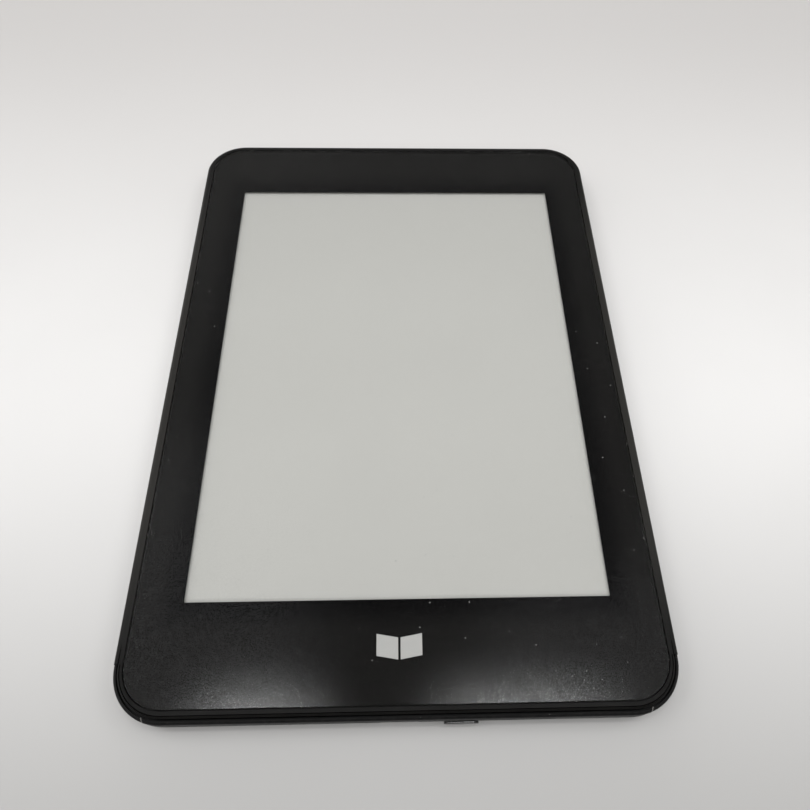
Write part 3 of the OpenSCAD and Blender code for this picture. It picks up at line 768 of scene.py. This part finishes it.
def lens_outline():
    size = lens_hi - lens_lo
    mid_y = (lens_lo.y + lens_hi.y) / 2
    return Outline(size.x, size.y, LENS_R, mid_y, CHIN_Y + CHIN_SPLIT, marks=SIDE_MARKS)


def opening_outline():
    chin_y = OPENING_Y - OPENING_L / 2 + OPENING_R + CHIN_SPLIT
    return Outline(OPENING_W, OPENING_L, OPENING_R, OPENING_Y, chin_y, marks=SIDE_MARKS)


def crease(y):
    """Height of the bottom of the crease beside the rim's rounded edge. It fades out above the chin."""
    fade = min(max((CHIN_Y + CREASE_END - y) / CREASE_FADE, 0), 1)
    return RIM_Z - CREASE_D * fade


def build_front_frame(finish):
    """Rim round the lens: rounded edge, crease, ledge, opening, and the tongue inside the cover."""
    case, lens, opening = case_outline(), lens_outline(), opening_outline()
    base_z = SEAM_Z + SEAM_GAP
    low, tip = CHIN_INSET, CHIN_INSET + CHIN_R
    rings = [case.ring(0, base_z, (low, base_z))]
    for main, chin in zip(edge_arc(FRONT_R, 0, RIM_Z), edge_arc(CHIN_R, low, RIM_Z)):
        rings.append(case.ring(*main, chin))
    rings.append(case.ring(FRONT_R + CREASE_STEP + CREASE_W, crease, (tip + CREASE_W, crease)))
    rings.append(case.ring(FRONT_R + 2 * (CREASE_STEP + CREASE_W), RIM_Z, (tip + 2 * CREASE_W, RIM_Z)))
    for out, sink in ((1.0, 0.0), (0.3, 0.3), (0.0, 1.0)):
        rings.append(lens.ring(-out * RIM_BREAK - LENS_GAP, RIM_Z - sink * RIM_BREAK))
    rings.append(lens.ring(-LENS_GAP, LEDGE_Z))
    rings.append(opening.ring(0, LEDGE_Z))
    rings.append(opening.ring(0, LEDGE_LOW))
    rings.append(case.ring(TONGUE_IN, LEDGE_LOW))
    rings.append(case.ring(TONGUE_IN, rim_lo.z))
    rings.append(case.ring(TONGUE_OUT, rim_lo.z))
    rings.append(case.ring(TONGUE_OUT, base_z))
    bm = bmesh.new()
    loft(bm, rings, closed=True)
    ob = new_object("rim_frame", bm, [finish["frame_satin"]])
    return placed(ob, "frame_satin", "front_frame")


def cover_rings():
    """Rings of the rear cover's outside, lip, wall and inside, from the back face to the inner floor."""
    case = case_outline()
    steps = 12
    turns = [math.radians(90 * i / steps) for i in range(steps + 1)]
    rings = [case.ring(BACK_R * (1 - math.sin(a)), BACK_R * (1 - math.cos(a))) for a in turns]
    for main, chin in zip(edge_arc(SEAM_R, 0, SEAM_Z), edge_arc(LIP_R, 0, LIP_Z)):
        rings.append(case.ring(*main, chin))
    rings.append(case.ring(LIP_W, SEAM_Z, (LIP_W, LIP_Z)))
    rings.append(case.ring(LIP_W, SEAM_Z, (LIP_W, SEAM_Z)))
    rings.append(case.ring(WALL, SEAM_Z))
    rings.append(case.ring(WALL, SEAL_TOP))
    rings.append(case.ring(SEAL_IN, SEAL_TOP))
    rings.append(case.ring(SEAL_IN, SEAL_LOW + SEAL_SLOPE))
    rings.append(case.ring(WALL + 2 * HAIR, SEAL_LOW))
    for a in reversed(turns):
        height = FLOOR_T + INNER_R * (1 - math.cos(a))
        rings.append(case.ring(WALL + INNER_R * (1 - math.sin(a)), min(height, SEAL_LOW - HAIR)))
    return rings


def port_ring(y, arc=6):
    """Rounded rectangle of the hole round the charging port."""
    out = []
    for side_x, side_z, start in ((1, -1, -90), (1, 1, 0), (-1, 1, 90), (-1, -1, 180)):
        for i in range(arc + 1):
            a = math.radians(start + 90 * i / arc)
            x = side_x * (PORT_HOLE_W / 2 - PORT_HOLE_R) + PORT_HOLE_R * math.cos(a)
            z = side_z * (PORT_HOLE_H / 2 - PORT_HOLE_R) + PORT_HOLE_R * math.sin(a)
            out.append(Vector((x, y, PORT_Z + z)))
    return out


def circle_ring(radius, x, y, z, steps=24):
    angles = [2 * math.pi * i / steps for i in range(steps)]
    return [Vector((x + radius * math.cos(a), y, z + radius * math.sin(a))) for a in angles]


def box_ring(width, height, x, y, z):
    corners = ((-1, -1), (1, -1), (1, 1), (-1, 1))
    return [Vector((x + sx * width / 2, y, z + sz * height / 2)) for sx, sz in corners]


def cover_cutters():
    """Cutters for the port, the button's slot and pocket, and the charge light."""
    slot = (BUTTON_W + 2 * BUTTON_GAP, BUTTON_H + 2 * BUTTON_GAP, BUTTON_X)
    ends = (CUT_OUT_Y, CUT_IN_Y)
    pocket_ends = (POCKET_Y, POCKET_Y + POCKET_L)
    return [
        prism("cut_port", *[port_ring(y) for y in ends]),
        prism("cut_slot", *[pill(*slot, y, BUTTON_Z) for y in ends]),
        prism("cut_pocket", *[box_ring(POCKET_W, POCKET_H, BUTTON_X, y, BUTTON_Z) for y in pocket_ends]),
        prism("cut_light", *[circle_ring(LIGHT_R, LIGHT_X, y, BUTTON_Z) for y in ends]),
    ]


def build_rear_cover(finish):
    bm = bmesh.new()
    loft(bm, cover_rings())
    ob = new_object("back_shell", bm, [finish["cover_soft"]])
    cut(ob, cover_cutters())
    return placed(ob, "cover_soft", "rear_cover")


def build_ribs(finish):
    """Thin slanted ribs that bridge the groove and run over the lip, one near each lower corner."""
    case = case_outline()
    centre = Vector((case.stations[0][0], case.stations[0][1], 0))
    angle = math.asin((RIB_X - centre.x) / CASE_R)
    out = Vector((math.sin(angle), -math.cos(angle), 0))
    along = Vector((math.cos(angle), math.sin(angle), 0))
    half_w, tip_w, deep = 0.09, 0.02, 0.12
    slant_start, slant_by = 0.5, 0.9
    foot = (-0.01, 5.6)
    path = [(CHIN_INSET + 0.02, LIP_Z - 0.1), (LIP_W + 0.1, LIP_Z), (LIP_W, LIP_Z + 0.03)]
    path += [(d - 0.03, z) for d, z in reversed(edge_arc(LIP_R, 0, LIP_Z, 5))] + [foot]
    last = len(path) - 1
    bm = bmesh.new()
    for side in (1, -1):
        rings = []
        for i, (inset, z) in enumerate(path):
            wide = along * (half_w if i < last else tip_w)
            slant = along * (slant_start - slant_by * i / last)
            base = centre + out * (CASE_R - inset) + slant + Vector((0, 0, z))
            into = (Vector((0, 0, -1)) - out * (i / len(path))).normalized() * deep
            ring = [base - wide, base + wide, base + wide + into, base - wide + into]
            rings.append([Vector((side * p.x, p.y, p.z)) for p in ring])
        loft(bm, rings)
    ob = new_object("lip_ribs", bm, [finish["frame_satin"]])
    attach(ob, "housing")


def build_clear(name, node, radius, edge, finish, slot):
    """Clear sheet with rounded edges, a hair thinner than its CAD block so that no faces coincide."""
    lo, hi = span(node)
    top = hi.z if node == "front_lens" else hi.z - HAIR
    outline = Outline(hi.x - lo.x, hi.y - lo.y, radius, (lo.y + hi.y) / 2)
    rings = [outline.ring(HAIR, lo.z + HAIR)]
    rings += [outline.ring(d, z) for d, z in edge_arc(edge, 0, top, 4)]
    bm = bmesh.new()
    loft(bm, rings)
    ob = new_object(name, bm, [finish[slot], finish["touch_film"]])
    for face in ob.data.polygons:
        looks_down = face.normal.z < -0.5
        if looks_down:
            face.material_index = 1
    return placed(ob, slot, node)


def build_button(finish):
    """Button cap with a crowned, rounded face, its flange and the nub behind."""
    face_y = cap_lo.y
    flat_w, flat_h = BUTTON_W - 2 * BUTTON_EDGE, BUTTON_H - 2 * BUTTON_EDGE
    rings = []
    for share, sink in ((0.4, 0.0), (0.7, 0.01), (0.9, 0.03)):
        width = flat_w - flat_h * (1 - share)
        rings.append(pill(width, flat_h * share, BUTTON_X, face_y + sink, BUTTON_Z))
    for inset, rise in edge_arc(BUTTON_EDGE, 0, 0, 5)[::-1]:
        y = face_y + BUTTON_CROWN - rise
        rings.append(pill(BUTTON_W - 2 * inset, BUTTON_H - 2 * inset, BUTTON_X, y, BUTTON_Z))
    rings.append(pill(BUTTON_W, BUTTON_H, BUTTON_X, FLANGE_Y, BUTTON_Z))
    nub_y = FLANGE_Y + FLANGE_T
    for y in (FLANGE_Y, nub_y):
        rings.append(pill(FLANGE_W, FLANGE_H, BUTTON_X, y, BUTTON_Z))
    bm = bmesh.new()
    loft(bm, rings)
    loft(bm, [pill(NUB_W, NUB_H, BUTTON_X, y, BUTTON_Z) for y in (nub_y - HAIR, nub_y + NUB_L)])
    ob = new_object("button_cap", bm, [finish["button_gloss"]])
    return placed(ob, "button_gloss", "power_button", body="power_button")


def port_outline(grow, y, corner=0.28, arc=5):
    """Outline of the port's pressed shell: wide above, narrower at the foot, with rounded corners."""
    half_w = (shell_hi.x - shell_lo.x) / 2 + grow
    half_h = (shell_hi.z - shell_lo.z) / 2 + grow
    shoulder, foot = -0.3, half_w - 1
    right = [(foot, -half_h), (half_w, shoulder), (half_w, half_h)]
    points = [Vector((-x, z)) for x, z in reversed(right)] + [Vector(p) for p in right]
    out = []
    for i, here in enumerate(points):
        before = here + (points[i - 1] - here).normalized() * corner
        after = here + (points[(i + 1) % len(points)] - here).normalized() * corner
        for k in range(arc + 1):
            t = k / arc
            spot = before * (1 - t) ** 2 + here * 2 * t * (1 - t) + after * t ** 2
            out.append(Vector((spot.x, y, PORT_Z + spot.y)))
    return out


def build_port(finish):
    """Pressed steel shell of the charging port, with a rolled mouth."""
    mouth, back = shell_lo.y, shell_hi.y
    rolled = ((-0.04, 0.03), (-0.12, 0.0), (-0.2, 0.03), (-PORT_WALL, 0.25))
    rings = [port_outline(0, back), port_outline(0, mouth + 0.12)]
    rings += [port_outline(grow, mouth + sink) for grow, sink in rolled]
    rings.append(port_outline(-PORT_WALL, back - 0.6))
    bm = bmesh.new()
    loft(bm, rings)
    ob = new_object("port_shell", bm, [finish["port_steel"]])
    return placed(ob, "port_steel", "usb_shell")


# ---- Stage ----

def camera():
    """Camera at the photographed angle: above the lower edge, looking down at the screen."""
    azimuth = math.radians(-3.607)
    elevation = math.radians(59.64)
    roll = math.radians(2.708)
    level = math.cos(elevation)
    back = Vector((math.sin(azimuth) * level, -math.cos(azimuth) * level, math.sin(elevation)))
    cam = bpy.data.objects.new("camera", bpy.data.cameras.new("camera"))
    bpy.context.scene.collection.objects.link(cam)
    cam.location = Vector((-0.18, -98.03, 155.95)) * MM
    cam.rotation_mode = "QUATERNION"
    cam.rotation_quaternion = (-back).to_track_quat("-Z", "Y") @ Quaternion((0, 0, 1), roll)
    cam.data.lens = 30.55
    cam.data.sensor_width = 36
    cam.data.shift_x = -0.0169
    cam.data.clip_start = 0.01
    bpy.context.scene.camera = cam


def floor():
    """Pale floor under the reader, with painted shade that darkens it before and behind it."""
    s = Surface("floor", (0.8, 0.8, 0.8), 0.55, Specular_IOR_Level=0.2)
    cloth = s.noise(60.0, 3.0)
    pale = s.mixed(s.spread(cloth), (0.83, 0.822, 0.815), (0.85, 0.842, 0.835))
    before, behind = (0.42, 0.417, 0.41), (0.64, 0.625, 0.615)
    # Painted shade: bands across the floor darken it before and behind the reader.
    for start, end, tone in ((0.0, -0.13, before), (-0.01, 0.18, behind)):
        pale = s.mixed(s.band(s.axis("Y"), start, end), pale, tone)
    s.paint(pale)
    bpy.ops.mesh.primitive_plane_add(size=6)
    plane = bpy.context.object
    plane.name = "floor"
    plane.location.z = -2 * HAIR * MM
    plane.data.materials.append(s.material)


def soft_light(name, place, aim, size, power):
    """Rectangular soft light that points at aim."""
    data = bpy.data.lights.new(name, "AREA")
    data.shape = "RECTANGLE"
    data.size, data.size_y = size
    data.energy = power
    light = bpy.data.objects.new(name, data)
    bpy.context.scene.collection.objects.link(light)
    light.location = place
    light.rotation_mode = "QUATERNION"
    light.rotation_quaternion = (Vector(aim) - Vector(place)).to_track_quat("-Z", "Y")
    return light


def studio_world():
    """Soft surroundings: dark overhead and behind the viewer, brighter low down and to the left."""
    world = bpy.data.worlds.new("studio")
    world.use_nodes = True
    tree = world.node_tree
    split = tree.nodes.new("ShaderNodeSeparateXYZ")
    tree.links.new(tree.nodes.new("ShaderNodeTexCoord").outputs["Generated"], split.inputs[0])
    strength = None
    ramps = (("Z", "LINEAR", 0.0, 1.0, 1.0, 0.06),
             ("Y", "SMOOTHSTEP", -0.7, 0.0, 0.2, 1.0),
             ("X", "SMOOTHSTEP", -0.6, 0.5, 1.5, 0.75))
    for axis, kind, start, end, low, high in ramps:
        ramp = tree.nodes.new("ShaderNodeMapRange")
        ramp.interpolation_type = kind
        tree.links.new(split.outputs[axis], ramp.inputs["Value"])
        for key, value in (("From Min", start), ("From Max", end), ("To Min", low), ("To Max", high)):
            ramp.inputs[key].default_value = value
        if strength is None:
            strength = ramp.outputs["Result"]
        else:
            both = tree.nodes.new("ShaderNodeMath")
            both.operation = "MULTIPLY"
            tree.links.new(strength, both.inputs[0])
            tree.links.new(ramp.outputs["Result"], both.inputs[1])
            strength = both.outputs[0]
    shader = tree.nodes["Background"]
    shader.inputs["Color"].default_value = (1.0, 0.985, 0.965, 1)
    tree.links.new(strength, shader.inputs["Strength"])
    return world


# Name, place, size and power of each light, in metres and watts, and how it shines: "down" points straight
# down, "round" points at the reader, and "fill" does too but doesn't show in glossy surfaces
LIGHTS = (
    ("lamp_left", (-0.195, -0.02, 0.9), (0.12, 0.06), 0.52, "down"),
    ("lamp_right", (0.175, -0.02, 0.9), (0.2, 0.06), 0.68, "down"),
    ("side_0", (-0.95, 0.1, 1.3), (1.0, 0.5), 3.6, "round"),
    ("side_2", (0.95, 0.1, 1.3), (1.0, 0.5), 3.6, "round"),
    ("behind", (0, 1.6, 0.7), (1.2, 0.4), 0.9, "round"),
    ("panel_left", (-0.3, 0.16, 0.91), (0.36, 0.6), 0.24, "down"),
    ("panel_right", (0.31, 0.04, 0.91), (0.36, 0.34), 0.14, "down"),
    ("overhead", (0, -0.05, 0.8), (0.6, 0.5), 1.6, "fill"),
    ("window", (0, -0.95, 0.9), (1.0, 0.5), 5.2, "fill"),
)


def lighting():
    scene = bpy.context.scene
    scene.world = studio_world()
    for name, place, size, power, kind in LIGHTS:
        aim = (place[0], place[1], 0) if kind == "down" else (0, 0, 0)
        light = soft_light(name, place, aim, size, power)
        light.visible_glossy = kind != "fill"
    scene.view_settings.view_transform = "Standard"
    scene.cycles.transparent_max_bounces = 32
    scene.cycles.use_light_tree = False


def main():
    finish = slot_materials()
    build_front_frame(finish)
    build_rear_cover(finish)
    build_ribs(finish)
    build_clear("lens_sheet", "front_lens", LENS_R, LENS_EDGE, finish, "lens_clear")
    build_clear("touch_sheet", "touch_sensor", 1.0, 0.03, finish, "touch_film")
    build_clear("guide_sheet", "light_guide", 0.5, 0.03, finish, "guide_clear")
    build_button(finish)
    build_port(finish)
    dress_nodes(finish)
    camera()
    floor()
    lighting()


main()
